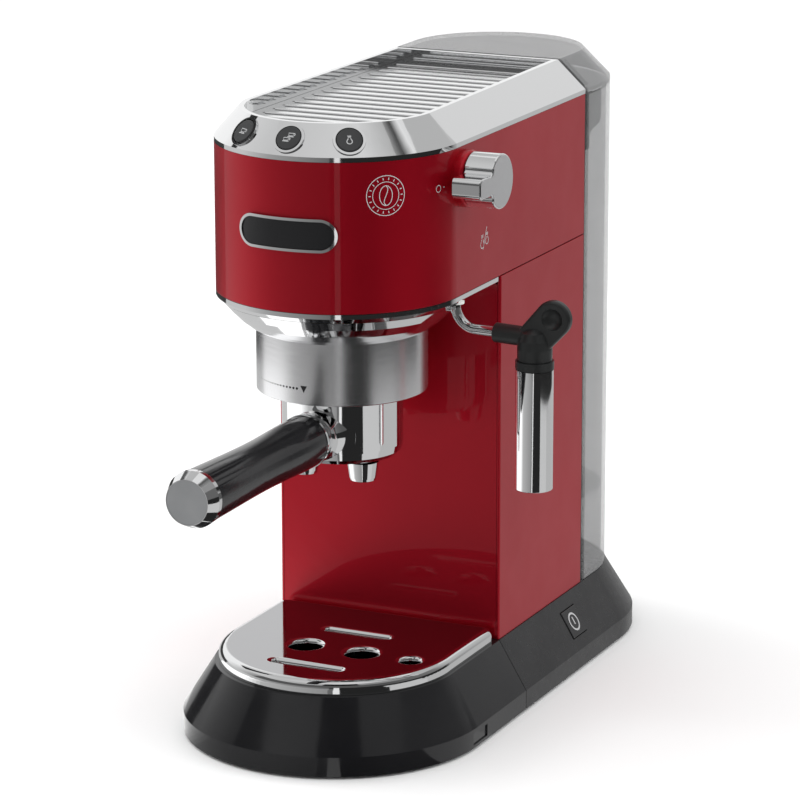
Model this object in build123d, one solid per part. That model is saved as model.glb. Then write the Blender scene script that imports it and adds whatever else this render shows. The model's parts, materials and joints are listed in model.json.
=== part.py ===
"""A slim pump espresso machine, built as the separate pieces that it comes apart into.

Millimetres. +Z is up, the front of the machine faces -Y, and +X is the side of the steam knob.
The origin is on the surface that the machine stands on, straight below the brewing axis.
"""
from build123d import *
from math import cos, radians, sin
import os

# ---- driving dimensions -----------------------------------------------------------------
BASE_HALF = 74.5          # half the width of the base at its lip
BASE_FRONT_Y = -7.5       # centre of the base's round front end
REAR_Y = 176.5            # centre of the round rear ends of base and tank
BODY_HALF = 59.5          # half the width of the body, and the radius of the head's front
FRONT_PANEL_Y = 51.5      # face of the column behind the cups
BODY_REAR_Y = 155.5       # where the red body ends and the tank begins
Z_FOOT = 1.5              # thickness of the rubber feet
Z_LIP = 11.0              # top of the base's upright lip
Z_BASE = 35.0             # top of the base
Z_GRILLE = 42.0           # face that cups stand on
Z_HEAD = 218.0            # lower edge of the head
Z_LEDGE = 289.0           # lower edge of the bright top frame
Z_BEVEL = 291.2           # start of the top frame's bevel
HEIGHT = 305.0            # ridge of the top frame
RIDGE_FRONT = 47.0        # half width of the ridge where its front arc ends
RIDGE_REAR = 44.5         # half width of the ridge at the rear
RIDGE_REACH = 48.3        # how far the ridge's arc reaches forward of the brewing axis
COLLAR_R = 40.8           # brushed collar round the brewing group
Z_COLLAR = 169.4          # its lower edge
HOLDER_R = 29.0           # filter holder's cup
Z_HOLDER = 136.6          # its underside
KNOB_Y, KNOB_Z = 8.0, 273.5       # steam knob's axis, along X
WAND_X, WAND_Y = 53.5, 12.0       # upright axis that the steam wand swivels on
WAND_ARM_Z = 201.0                # height of the wand's level arm
BALL_Z = 221.7                    # centre of the ball that the wand hangs from
FROTHER_X, FROTHER_Y = 96.4, 7.0  # upright axis of the frother sleeve
SLEEVE_R = 8.9
GRIP_START = (0, -42, 151.8)      # where the holder's grip begins
GRIP_RISE = 0.5                   # degrees that the grip rises towards the user
GRIP_LENGTH = 107.0
BUTTON_ANGLES = (-29, 0, 30)      # places round the front, from straight ahead
BUTTON_R = 6.0
SHEET = 1.5               # thickness of the painted and chromed covers
SEAM = 0.5                # open joint between the sides and the head
GAP = 0.2                 # room between pieces that are put together
RUN = 0.06                # radial room in a running fit
TANK_FRONT_Y = 158.0      # flat front of the water tank
Z_TANK_TOP = 287.8
Z_LID = 289.0             # lower edge of the tank's lid
LID_AXIS_Y, LID_AXIS_Z = 163.0, 300.5     # the lid's hinge, along X
TANK_FLOOR_Z = 78.0
DOCK_Y = 190.0            # upright axis of the tank's valve and its dock
PUMP_Y = 100.0            # upright axis of the pump

UP = (0, 0, 1)


# ---- shared shapes ----------------------------------------------------------------------
def block(x, y, z):
    """A box from its (low, high) extent along each axis."""
    size = [b - a for a, b in (x, y, z)]
    middle = [(a + b) / 2 for a, b in (x, y, z)]
    return Pos(*middle) * Box(*size)


def disc(r, z0, z1, x=0, y=0):
    """An upright round bar between two heights."""
    return Pos(x, y, (z0 + z1) / 2) * Cylinder(r, z1 - z0)


def ring(r, bore, z0, z1, x=0, y=0):
    return disc(r, z0, z1, x, y) - disc(bore, z0 - 1, z1 + 1, x, y)


def bar(r, start, end):
    """A round bar between two points."""
    run = Vector(*end) - Vector(*start)
    low = (Align.CENTER, Align.CENTER, Align.MIN)
    return Plane(origin=start, z_dir=run) * Cylinder(r, run.length, align=low)


def turned(points, plane=Plane.XY):
    """A turned solid: its (radius, height) outline spun about the plane's Z axis."""
    profile = Plane.XZ * make_face(Polyline(*points, close=True))
    return plane * revolve(profile, Axis.Z)


def tube(r, bore, points, radii):
    """A pipe along straight runs joined by arcs; a bore of 0 leaves it solid."""
    path = FilletPolyline(*points, radius=radii)
    start = Plane(origin=path @ 0, z_dir=path % 0)
    pipe = sweep(start * Circle(r), path=path)
    return pipe - sweep(start * Circle(bore), path=path) if bore else pipe


def dee(y_flat, y_arc, half, reach=None, half_flat=None):
    """A plan with one straight end at y_flat and one round end beyond y_arc."""
    reach = reach or half
    half_flat = half_flat or half
    away = 1 if y_arc > y_flat else -1
    arc = ThreePointArc((-half, y_arc), (0, y_arc + away * reach), (half, y_arc))
    sides = Polyline((half, y_arc), (half_flat, y_flat), (-half_flat, y_flat), (-half, y_arc))
    return make_face(arc + sides)


def prism(plan, z0, z1):
    return extrude(Pos(0, 0, z0) * plan, amount=z1 - z0, dir=UP)


def taper(low_plan, z0, high_plan, z1):
    return loft([Pos(0, 0, z0) * low_plan, Pos(0, 0, z1) * high_plan], ruled=True)


def flared_foot(y_flat, y_lip, y_top, inset, z0, z1):
    """The base's shape: an upright lip, then sides that lean in; inset gives its inside."""
    lean = (BASE_HALF - BODY_HALF - 0.5) / (Z_BASE - Z_LIP)
    half = BASE_HALF - inset
    top_half = half - lean * (z1 - Z_LIP)
    top_y = y_lip + (y_top - y_lip) * (z1 - Z_LIP) / (Z_BASE - Z_LIP)
    lip = prism(dee(y_flat, y_lip, half), z0, Z_LIP)
    return lip + taper(dee(y_flat, y_lip, half), Z_LIP, dee(y_flat, top_y, top_half), z1)


# ---- base -------------------------------------------------------------------------------
FLARE_LEAN = (BASE_HALF - BODY_HALF - 0.5) / (Z_BASE - Z_LIP)
SWITCH_Y = (119.2, 136.4)
SWITCH_Z = 22.8
SWITCH_HALF = 7.2
SWITCH_X = BASE_HALF - FLARE_LEAN * (SWITCH_Z - Z_LIP)
SWITCH_PLANE = Plane(
    origin=(SWITCH_X, sum(SWITCH_Y) / 2, SWITCH_Z), x_dir=(0, 1, 0), z_dir=(1, 0, FLARE_LEAN)
)
SWITCH_LENGTH = SWITCH_Y[1] - SWITCH_Y[0]
SCREW_SPOTS = ((50, 66), (-50, 66), (34, 216), (-34, 216))
FOOT_SPOTS = ((0, 0), (34, -42), (-34, -42), (50, 84), (-50, 84), (44, 205), (-44, 205))
GLAND_X, GLAND_Z, GLAND_R, GLAND_BORE = -30.0, 18.0, 6.0, 3.75
GLAND_Y = (232.0, 246.0)
TONGUE_HALF = 44.0
METER_X, METER_Y, HOSE_Y = 34.0, 120.0, 147.0     # flow meter's axis, and the hose behind it


def base_housing():
    """Rear half of the base: a flared shell, open below, with the tank's dock on top."""
    wall = 2.2
    body = flared_foot(FRONT_PANEL_Y - 0.3, REAR_Y, REAR_Y, 0, Z_FOOT, Z_BASE)
    body -= flared_foot(FRONT_PANEL_Y - 0.3 + wall, REAR_Y, REAR_Y, wall, 0, Z_BASE - wall)
    body -= block((-TONGUE_HALF - GAP, TONGUE_HALF + GAP), (50, 54), (0, 4.4))
    body -= disc(22.2, Z_BASE - 5, Z_BASE + 1, 0, DOCK_Y)
    body -= disc(5, Z_BASE - 5, Z_BASE + 1, METER_X, HOSE_Y)
    body -= SWITCH_PLANE * Box(SWITCH_LENGTH + 0.8, 2 * SWITCH_HALF + 0.8, 12)
    body -= bar(GLAND_R + 0.05, (GLAND_X, GLAND_Y[0] - 9, GLAND_Z), (GLAND_X, GLAND_Y[1], GLAND_Z))
    for x, y in SCREW_SPOTS:
        body += ring(4, 1.5, 4.2, Z_BASE - wall, x, y)
    return body


def base_plate():
    """Flat floor of the base, with a tongue that runs forward below the drip tray."""
    plate = prism(dee(54.0, REAR_Y, BASE_HALF - 2.4), Z_FOOT, 4.0)
    plate += block((-TONGUE_HALF, TONGUE_HALF), (-58, 60), (Z_FOOT, 4.0))
    for x, y in SCREW_SPOTS:
        plate -= disc(1.7, 0, 5, x, y) + disc(3.3, 0, 2.7, x, y)
    return plate


def screws():
    """The base plate's screws, and the one that holds the shower screen."""
    pieces = [disc(3, 1.7, 2.7, x, y) + disc(1.35, 2.7, 16, x, y) for x, y in SCREW_SPOTS]
    pieces.append(disc(3.6, 182.8, 184.3) + disc(1.9, 184.3, 195))
    return Compound(pieces)


def rubber_feet():
    feet = []
    for x, y in FOOT_SPOTS:
        foot = disc(7.5, 0, Z_FOOT, x, y)
        feet.append(chamfer(foot.edges().group_by(Axis.Z)[0], 0.4))
    return Compound(feet)


def cord_gland():
    """Rubber bush in the back of the base that the mains lead passes through."""
    body = bar(GLAND_R, (GLAND_X, GLAND_Y[0], GLAND_Z), (GLAND_X, GLAND_Y[1] - 1, GLAND_Z))
    body -= bar(GLAND_BORE, (GLAND_X, 200, GLAND_Z), (GLAND_X, 260, GLAND_Z))
    return body


def power_switch():
    """Rocker cap, flush with the flared side."""
    cap = SWITCH_PLANE * Pos(0, 0, -1.6) * Box(SWITCH_LENGTH, 2 * SWITCH_HALF, 4.0)
    return fillet(cap.edges().group_by(Axis((0, 0, 0), SWITCH_PLANE.z_dir))[-1], 0.5)


# ---- drip tray --------------------------------------------------------------------------
TRAY_BACK_Y = FRONT_PANEL_Y - 0.8
TRAY_TOP_Y = -5.5
FLOAT_X, FLOAT_Y = 42.0, -14.0
GRILLE_ARC_Y = -4.5
GRILLE_HALF = 58.5
CUP_HOLES = ((16, -13.4, 8), (-14, -13.4, 8), (FLOAT_X, FLOAT_Y, 5))
CUP_SLOTS = ((1, 13, 35), (0, -40.5, 37))


def drip_tray():
    """Front half of the base: a bowl that slides out, with a guide for the level float."""
    wall = 2.3
    inner_back = TRAY_BACK_Y - wall
    tray = flared_foot(TRAY_BACK_Y, BASE_FRONT_Y, TRAY_TOP_Y, 0, Z_FOOT, Z_BASE)
    bowl = flared_foot(inner_back, BASE_FRONT_Y, TRAY_TOP_Y, wall, 7.0, Z_BASE)
    tray -= bowl
    tray -= prism(dee(inner_back, BASE_FRONT_Y, BASE_HALF - wall), 0, 4.6)
    tray -= block((-TONGUE_HALF - 0.6, TONGUE_HALF + 0.6), (40, 52), (0, 4.6))
    for side in (-1, 1):
        tray -= Pos(side * BASE_HALF, -4, 6) * Box(1.4, 16, 6)
    guide = ring(8.2, 6.3, 7.0, 26, FLOAT_X, FLOAT_Y)
    guide -= Pos(FLOAT_X, FLOAT_Y, 18) * Box(20, 2.5, 18)
    return tray + guide


def drip_float():
    """Float that rises through its hole in the grille when the tray is full."""
    body = disc(5.8, 8.0, 25.5, FLOAT_X, FLOAT_Y) + disc(4.2, 25.5, 32.5, FLOAT_X, FLOAT_Y)
    return fillet(body.edges().group_by(Axis.Z)[-1], 1.5)


def grille_skin(inset, z0, rounding):
    plan = dee(50 - inset, GRILLE_ARC_Y, GRILLE_HALF - inset)
    skin = prism(plan, z0, Z_GRILLE - inset)
    rear = skin.edges().filter_by(Axis.Z).group_by(Axis.Y)[-1]
    skin = fillet(rear, 6 - inset)
    return fillet(skin.faces().sort_by(Axis.Z)[-1].edges(), rounding)


def slot_bar(x, y, length, width, z0, z1):
    return extrude(Pos(x, y, z0) * SlotOverall(length, width), amount=z1 - z0, dir=UP)


def cup_grille():
    """Pressed steel plate that cups stand on; its edges roll over onto the tray's rim."""
    thick = 1.2
    rim = 2.8
    slot = 4.2
    z_lip = 38.0
    plate = grille_skin(0, Z_BASE + 0.1, 4.2) - grille_skin(thick, Z_BASE - 1, 3.2)
    for x, y, r in CUP_HOLES:
        plate += disc(r + rim, z_lip, Z_GRILLE - 0.5, x, y)
    for x, y, length in CUP_SLOTS:
        plate += slot_bar(x, y, length + 2 * rim, slot + 2 * rim, z_lip, Z_GRILLE - 0.5)
    for x, y, r in CUP_HOLES:
        plate -= disc(r, z_lip - 1, Z_GRILLE + 1, x, y)
    for x, y, length in CUP_SLOTS:
        plate -= slot_bar(x, y, length, slot, z_lip - 1, Z_GRILLE + 1)
    top = plate.faces().sort_by(Axis.Z)[-1]
    rims = [edge for wire in top.inner_wires() for edge in wire.edges()]
    return fillet(rims, rim - 0.4)


# ---- column -----------------------------------------------------------------------------
def column_front_panel():
    half = BODY_HALF - SHEET - 0.2
    return block((-half, half), (FRONT_PANEL_Y, FRONT_PANEL_Y + SHEET), (Z_BASE + 0.1, 213.3))


def side_panels():
    """Red sides of the column, one solid each."""
    panel = block((BODY_HALF - SHEET, BODY_HALF), (FRONT_PANEL_Y, BODY_REAR_Y - 0.3),
                  (Z_BASE + 0.1, Z_HEAD - SEAM))
    front = panel.edges().filter_by(Axis.Z).group_by(Axis.Y)[0]
    panel = fillet(front.sort_by(Axis.X)[-1], 1.0)
    top = panel.edges().filter_by(Axis.Y).group_by(Axis.Z)[-1]
    panel = fillet(top.sort_by(Axis.X)[-1], 0.35)
    return Compound([panel, mirror(panel, about=Plane.YZ)])


def rear_frame():
    """Black plate that closes the back of the body, between it and the tank."""
    return block((-58.9, 58.9), (BODY_REAR_Y, BODY_REAR_Y + 1.8), (Z_BASE + 0.1, Z_LEDGE))


def inner_chassis():
    """Sheet frame inside the column that carries the pump and the boards."""
    y = FRONT_PANEL_Y + 4
    frame = block((-56, 56), (y, y + 2), (Z_BASE + 0.5, 205))
    frame += block((-56, 56), (y, 150), (120, 122))
    for x in (-56, 54):
        frame += block((x, x + 2), (y, 150), (Z_BASE + 0.5, 122))
    frame -= disc(8, 119, 123, 0, PUMP_Y)
    frame -= block((-45, -32), (62, 148), (119, 123))
    return frame


# ---- water path -------------------------------------------------------------------------
def pump_body():
    """Vibration pump: plastic tube with its inlet below and its outlet above."""
    profile = ((0, 44), (3, 44), (3, 54), (11, 54), (11, 106), (7, 106), (7, 112), (3.2, 112),
               (3.2, 118), (0, 118))
    return turned(profile, Plane(origin=(0, PUMP_Y, 0)))


def pump_coil():
    """Copper coil in its steel bracket, round the middle of the pump."""
    coil = block((-22, 22), (PUMP_Y - 19, PUMP_Y + 19), (63, 97))
    return coil - disc(11 + 0.1, 60, 100, 0, PUMP_Y)


def inner_rubbers():
    """The pump's two mounts, and the gasket that the filter basket is pressed against."""
    spans = ((56, 62.8), (97.2, 104))
    mounts = [ring(16, 11.1, z0, z1, 0, PUMP_Y) for z0, z1 in spans]
    return Compound([*mounts, ring(36.5, 28.3, 182.6, 189.9)])


def flow_meter():
    body = disc(13, 46, 58, METER_X, METER_Y) + disc(3, 58, 66, METER_X, METER_Y)
    return body + bar(3, (METER_X, METER_Y, 52), (METER_X, METER_Y + 20, 52))


def water_hoses():
    """Silicone hoses from the tank's dock to the flow meter, and from there to the pump."""
    x, y = METER_X, METER_Y
    inlet = ((0, DOCK_Y - 26, 29), (0, HOSE_Y, 29), (x, HOSE_Y, 29), (x, HOSE_Y, 52),
             (x, y + 20.3, 52))
    onward = ((x, y, 66.3), (x, y, 82), (x + 17, y, 82), (x + 17, y, 40), (0, y, 40),
              (0, PUMP_Y, 40), (0, PUMP_Y, 43.8))
    return Compound([tube(3.0, 1.6, inlet, [7, 7, 4]), tube(2.6, 1.4, onward, [7, 7, 9, 9, 3])])


def pressure_tubes():
    """Pipes from the pump to the boiler, on to the steam valve, and down to the wand."""
    feed = ((0, PUMP_Y, 118.3), (0, PUMP_Y, 238), (0, 41.5, 238))
    steam = ((16, KNOB_Y, 256.2), (16, KNOB_Y, KNOB_Z), (27.8, KNOB_Y, KNOB_Z))
    wand = ((44, KNOB_Y, 260.3), (44, KNOB_Y, 250), (WAND_X, WAND_Y, 240),
            (WAND_X, WAND_Y, BALL_Z + 4.3))
    runs = ((feed, [18]), (steam, [6]), (wand, [6, 6]))
    return Compound([tube(2.0, 1.2, points, radii) for points, radii in runs])


def thermoblock():
    """Cast heater block over the brewing group."""
    body = block((-40, 40), (-34, 40), (Z_HEAD - 1.4, 256))
    return fillet(body.edges().filter_by(Axis.Z), 12)


def steam_valve():
    """Valve body behind the knob; the spindle turns in its bore."""
    start, end = (28, KNOB_Y, KNOB_Z), (56.5, KNOB_Y, KNOB_Z)
    body = bar(9, start, end) + bar(4, (44, KNOB_Y, KNOB_Z), (44, KNOB_Y, KNOB_Z - 13))
    return body - bar(3 + RUN, (36, KNOB_Y, KNOB_Z), (58, KNOB_Y, KNOB_Z))


def circuit_boards():
    """Control board in the column, and a small board behind each button."""
    boards = [block((-52, -50.4), (66, 146), (126, 200))]
    boards += [bevel_plane(angle) * Pos(0, 0, -14.6) * Box(13, 10, 1.6) for angle in BUTTON_ANGLES]
    return Compound(boards)


def electrical_parts():
    """Relays on the control board, push switches, thermostats and the mains switch."""
    relays = (((-50.4, -34), (74, 92), (132, 152)), ((-50.4, -28), (100, 128), (130, 158)),
              ((-50.4, -38), (76, 88), (166, 186)), ((-50.4, -42), (100, 140), (170, 190)))
    pieces = [block(*span) for span in relays]
    pieces += [bevel_plane(angle) * Pos(0, 0, -12) * Box(7, 7, 3.6) for angle in BUTTON_ANGLES]
    pieces += [disc(8, 256.1, 260, -22, y) + disc(5, 260, 266, -22, y) for y in (10, -14)]
    pieces.append(SWITCH_PLANE * Pos(0, 0, -9.2) * Box(SWITCH_LENGTH - 3, 11, 7))
    return Compound(pieces)


def tank_dock():
    """Seat on the base that the tank's valve stands in, with the pin that opens the valve."""
    dock = disc(22, Z_BASE - 9, Z_BASE, 0, DOCK_Y) + disc(25, Z_BASE, Z_BASE + 4, 0, DOCK_Y)
    dock += disc(15, Z_BASE + 4, 58, 0, DOCK_Y)
    dock += bar(3, (0, DOCK_Y - 25.8, 29), (0, DOCK_Y - 20, 29))
    dock -= disc(11, 34, 60, 0, DOCK_Y)
    dock += disc(2, 33.5, 38, 0, DOCK_Y)
    dock -= bar(1.6, (0, DOCK_Y - 27, 29), (0, DOCK_Y - 5, 29))
    return dock - disc(1.6, 28, 36, 0, DOCK_Y - 6)


# ---- head -------------------------------------------------------------------------------
def head_shell():
    """Red cover of the head, round in front, with a boss that the knob turns in front of."""
    back = BODY_REAR_Y - 0.3
    shell = prism(dee(back, 0, BODY_HALF), Z_HEAD, Z_LEDGE - 0.1)
    shell = fillet(shell.edges().group_by(Axis.Z)[0].sort_by(Axis.Y)[:-1], 0.35)
    shell -= prism(dee(back + 5, 0, BODY_HALF - SHEET), Z_HEAD - 1, Z_LEDGE + 1)
    boss = bar(13.5, (BODY_HALF - 1, KNOB_Y, KNOB_Z), (64.2, KNOB_Y, KNOB_Z))
    shell += fillet(boss.edges().group_by(Axis.X)[-1], 1.5)
    return shell - bar(3.4, (50, KNOB_Y, KNOB_Z), (66, KNOB_Y, KNOB_Z))


def ridge_plan(inset):
    """Plan of the top frame's ridge, moved in by an inset."""
    front, rear = RIDGE_FRONT - inset, RIDGE_REAR - inset
    return dee(BODY_REAR_Y - inset, 0, front, RIDGE_REACH - inset, rear)


def bevel_plane(angle):
    """Plane at the middle of the front bevel, its Z axis square to the bevel."""
    rise, run = HEIGHT - Z_BEVEL, BODY_HALF - RIDGE_REACH
    radius, z = (BODY_HALF + RIDGE_REACH) / 2, (HEIGHT + Z_BEVEL) / 2
    out = (sin(radians(angle)), -cos(radians(angle)))
    return Plane(
        origin=(out[0] * radius, out[1] * radius, z),
        x_dir=(-out[1], out[0], 0),
        z_dir=(out[0] * rise, out[1] * rise, run),
    )


def top_frame():
    """Bright frame round the top: upright lip, bevel, and a pocket for the cup tray."""
    back = BODY_REAR_Y
    frame = prism(dee(back, 0, BODY_HALF), Z_LEDGE, Z_BEVEL)
    frame += taper(dee(back, 0, BODY_HALF), Z_BEVEL, ridge_plan(0), HEIGHT)
    inside = dee(back - SHEET, 0, BODY_HALF - SHEET)
    hollow = prism(inside, Z_LEDGE - 1, Z_BEVEL - 0.8)
    inner_ridge = dee(back - SHEET, 0, RIDGE_FRONT - 0.2, RIDGE_REACH - 0.2, RIDGE_REAR - 0.2)
    hollow += taper(inside, Z_BEVEL - 0.8, inner_ridge, HEIGHT - 2)
    frame -= hollow
    frame += prism(ridge_plan(1.4), 295.8, HEIGHT)
    frame -= prism(ridge_plan(2.6), 297.2, HEIGHT + 1)
    frame -= prism(ridge_plan(5.0), 290, 299)
    for angle in BUTTON_ANGLES:
        frame -= bevel_plane(angle) * Cylinder(7.55, 9)
    return frame


def cup_tray():
    """Brushed tray with raised ribs for warming cups, and drain holes at the ribs' ends."""
    z = 297.3
    tray = prism(ridge_plan(2.8), z, z + 1.4)
    pitch, half, first = 10.4, 37.0, -30.0
    for row in range(18):
        y = first + row * pitch - 4
        reach = min(half, (max(43.5**2 - min(y - 3, 0)**2, 400))**0.5 - 6)
        rib = Pos(0, y, z + 1.4) * Box(2 * reach, 5.4, 1.4)
        tray += fillet(rib.edges().filter_by(Axis.X).group_by(Axis.Z)[-1], 0.6)
        for side in (-1, 1):
            tray -= disc(0.9, z - 1, z + 3, side * (reach + 1.6), y)
    return tray


def head_trim():
    """Bright band under the head, with the flat floor that closes the head from below."""
    band = prism(dee(51.2, 0, BODY_HALF), 213.5, Z_HEAD - 0.1)
    band = fillet(band.edges().filter_by(Axis.Z).group_by(Axis.Y)[-1], 3.0)
    band = chamfer(band.edges().group_by(Axis.Z)[0], 2.2)
    band -= prism(dee(60, 0, BODY_HALF - SHEET), 215.0, Z_HEAD + 1)
    band -= disc(43, 213, 216) + disc(4.4, 213, 216, WAND_X, WAND_Y)
    return band


def group_dish():
    """Bright cone that leads from the head's trim down to the collar."""
    outer = ((37, 199.1), (41.0, 199.1), (44.6, 201.2), (48.6, 204.4), (53.0, 208.8), (57.0, 213.3))
    inner = ((55.4, 213.3), (52.0, 209.9), (47.7, 205.7), (43.9, 202.6), (40.9, 200.5), (37, 200.5))
    dish = turned(outer + inner) - disc(4.4, 198, 216, WAND_X, WAND_Y)
    return dish - block((-60, 60), (51.2, 60), (198, 216))


def group_collar():
    """Brushed collar round the brewing group."""
    collar = ring(COLLAR_R, COLLAR_R - 2.2, Z_COLLAR, 199)
    return chamfer(collar.edges().group_by(Axis.Z)[0], 0.4)


def wedge(angle, half_angle, r, z0, z1):
    """A pie slice, for cutting or limiting round pieces."""
    low, high = radians(angle - half_angle), radians(angle + half_angle)
    plan = make_face(Polyline((0, 0), (r * cos(low), r * sin(low)),
                              (r * 1.3 * cos(radians(angle)), r * 1.3 * sin(radians(angle))),
                              (r * cos(high), r * sin(high)), close=True))
    return prism(plan, z0, z1)


def bayonet_ring():
    """Ring inside the collar; the holder's ears enter its gaps and turn onto its ledge."""
    body = ring(38.4, 36.8, 171.5, 189.9) + ring(38.4, 33.6, 171.5, 174.7)
    for angle in (-45, 135):
        body -= wedge(angle, 27, 36.8, 171, 175.5) & disc(36.8, 171, 175.5)
    return body


def brewing_head():
    """Cast block that the boiler sits on; its boss sprays water through the screen."""
    body = disc(38.3, 190, 198.9) + disc(33, 198.9, 216.5) + disc(27, 186.5, 190)
    return body - disc(2.0, 186, 197)


def shower_screen():
    screen = disc(27.9, 184.3, 189.4) - disc(27.2, 185, 190) - disc(2.1, 184, 186)
    for r, count in ((9, 8), (15, 14), (21, 20)):
        for step in range(count):
            a = radians(360 * step / count)
            screen -= disc(0.9, 184, 186, r * cos(a), r * sin(a))
    return screen


def wand_socket():
    """Bush that the wand's pipe turns in."""
    return ring(4.3, 2.5 + RUN, 212.3, BALL_Z - 4.2, WAND_X, WAND_Y)


def button_bezels():
    ring_shape = Pos(0, 0, -0.35) * (Cylinder(7.5, 2.1) - Cylinder(6.35, 3))
    return Compound([bevel_plane(angle) * ring_shape for angle in BUTTON_ANGLES])


def button(angle):
    """Round push button: a disc in the bevel with a stem to its switch."""
    cap = Pos(0, 0, -0.1) * Cylinder(BUTTON_R, 2.2)
    cap = fillet(cap.edges().group_by(Axis.Z)[-1], 0.6)
    return bevel_plane(angle) * (cap + Pos(0, 0, -4.8) * Cylinder(2.1, 7.4))


BADGE_Z, BADGE_HALF_ANGLE, BADGE_TALL = 255.0, 25.0, 15.7


def badge_plate(grow, depth, proud):
    """A pill-shaped plate wrapped round the head's front."""
    width = 2 * BODY_HALF * sin(radians(BADGE_HALF_ANGLE)) + 2 * grow
    pill = SlotOverall(width, BADGE_TALL + 2 * grow)
    punch = extrude(Plane.XZ * Pos(0, BADGE_Z, 0) * pill, amount=80, dir=(0, -1, 0))
    return punch & ring(BODY_HALF + proud, BODY_HALF + depth, 240, 270)


def badge_rim():
    return badge_plate(0, 0.05, 1.5) - badge_plate(-1.3, -1, 3)


def badge_face():
    return badge_plate(-1.4, 0.05, 0.9)


# ---- filter holder ----------------------------------------------------------------------
GRIP_PLANE = Plane(
    origin=GRIP_START, x_dir=(1, 0, 0),
    z_dir=(0, -cos(radians(GRIP_RISE)), sin(radians(GRIP_RISE))),
)
SPOUTS = ((15.5, -10), (-15.5, -10))


def holder_body():
    """Cup of the filter holder, with two ears that lock into the bayonet ring."""
    outer = ((0, Z_HOLDER), (22.5, Z_HOLDER), (26.4, 137.7), (28.4, 139.8), (HOLDER_R, 143),
             (HOLDER_R, 172), (33.1, 176), (33.1, 181.4), (26.9, 181.4), (26.9, 141), (0, 141))
    body = turned(outer)
    ears = ring(36.4, 32.5, 175.2, 179.4)
    body += ears & (wedge(0, 22, 40, 175, 180) + wedge(180, 22, 40, 175, 180))
    for x, y in SPOUTS:
        body -= disc(3, 130, 143, x, y)
    flare = Spline((12.9, -1.5), (11.3, -5), (10.8, -9), (12.2, -13.5), (15.4, -17.2), (18, -19))
    rest = Polyline((18, -19), (18, -24), (0, -24), (0, 0), (12.9, 0), (12.9, -1.5))
    neck = GRIP_PLANE * revolve(Plane.XZ * make_face(flare + rest), Axis.Z)
    body += neck - disc(HOLDER_R - 1, 130, 175)
    return body - bar_along_grip(3.1, -9.6, 2)


def spouts():
    """Two tapered spouts under the cup."""
    pair = []
    for x, y in SPOUTS:
        cone = turned(((4.2, 128.6), (5.4, 127.2), (6.1, 127.6), (6.5, 128.8), (7.6, 136.5),
                       (3.0, 136.5), (3.4, 133)), Plane(origin=(x, y, 0)))
        pair.append(cone)
    return Compound(pair)


def filter_basket():
    basket = turned(((0, 146.5), (26.3, 146.5), (26.3, 181.5), (31, 181.5), (31, 182.2),
                     (25.7, 182.2), (25.7, 147.1), (0, 147.1)))
    for r, count in ((6, 6), (12, 12), (18, 18)):
        for step in range(count):
            a = radians(360 * step / count)
            basket -= disc(0.7, 146, 148, r * cos(a), r * sin(a))
    return basket


def bar_along_grip(r, start, end):
    low = (Align.CENTER, Align.CENTER, Align.MIN)
    return GRIP_PLANE * Pos(0, 0, start) * Cylinder(r, end - start, align=low)


def holder_grip():
    """Waisted black grip."""
    side = Spline((12.6, 0.1), (12.6, 10), (11.8, 42), (12.2, 76), (12.9, GRIP_LENGTH - 0.1))
    ends = Polyline((12.9, GRIP_LENGTH - 0.1), (0, GRIP_LENGTH - 0.1), (0, 0.1), (12.6, 0.1))
    grip = GRIP_PLANE * revolve(Plane.XZ * make_face(side + ends), Axis.Z)
    return grip - bar_along_grip(3.1, -1, GRIP_LENGTH - 6)


def holder_bolt():
    return bar_along_grip(3.0, -9.5, GRIP_LENGTH - 8)


def grip_cap_ring():
    """Bright bevelled ring on the end of the grip."""
    e = GRIP_LENGTH
    return turned(((0, e), (13.2, e), (13.2, e + 2.6), (10.6, e + 8.6), (10.3, e + 8.6),
                   (10.3, e + 7.6), (0, e + 7.6)), GRIP_PLANE)


def grip_cap_disc():
    return bar_along_grip(10.2, GRIP_LENGTH + 7.6, GRIP_LENGTH + 8.5)


# ---- steam knob and wand ----------------------------------------------------------------
def steam_knob():
    """Round knob with a pointer that shows how far the valve is open."""
    x0, x1 = 64.8, 79.0
    reach, half = 25.0, 4.8
    plan = Circle(13) + Pos(-reach / 2, 0) * Rectangle(reach, 2 * half)
    for side in (-1, 1):
        plan -= Pos(-12.6, side * 7.0) * Circle(2.4)
    face = Plane(origin=(x0, KNOB_Y, KNOB_Z), x_dir=(0, 1, 0), z_dir=(1, 0, 0)) * plan
    knob = extrude(face, amount=x1 - x0)
    tip = knob.edges().filter_by(Axis.X).group_by(Axis.Y)[0]
    knob = fillet(tip, 2.5)
    knob = fillet(knob.faces().sort_by(Axis.X)[-1].edges(), 0.8)
    return knob - bar(3 + 0.02, (60, KNOB_Y, KNOB_Z), (72, KNOB_Y, KNOB_Z))


def valve_spindle():
    return bar(3, (38, KNOB_Y, KNOB_Z), (72, KNOB_Y, KNOB_Z))


ARM = Vector(FROTHER_X - WAND_X, FROTHER_Y - WAND_Y, 0).normalized()


def along_arm(distance, z):
    """A point at a distance from the swivel axis, along the wand's level arm."""
    return (WAND_X + ARM.X * distance, WAND_Y + ARM.Y * distance, z)


def wand_pipe():
    """Bent steel pipe with the ball that it hangs from."""
    points = ((WAND_X, WAND_Y, BALL_Z), (WAND_X, WAND_Y, WAND_ARM_Z), along_arm(30, WAND_ARM_Z))
    return tube(2.5, 0, points, [11]) + Pos(WAND_X, WAND_Y, BALL_Z) * Sphere(4)


ELBOW_TOP = 204.5


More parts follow.
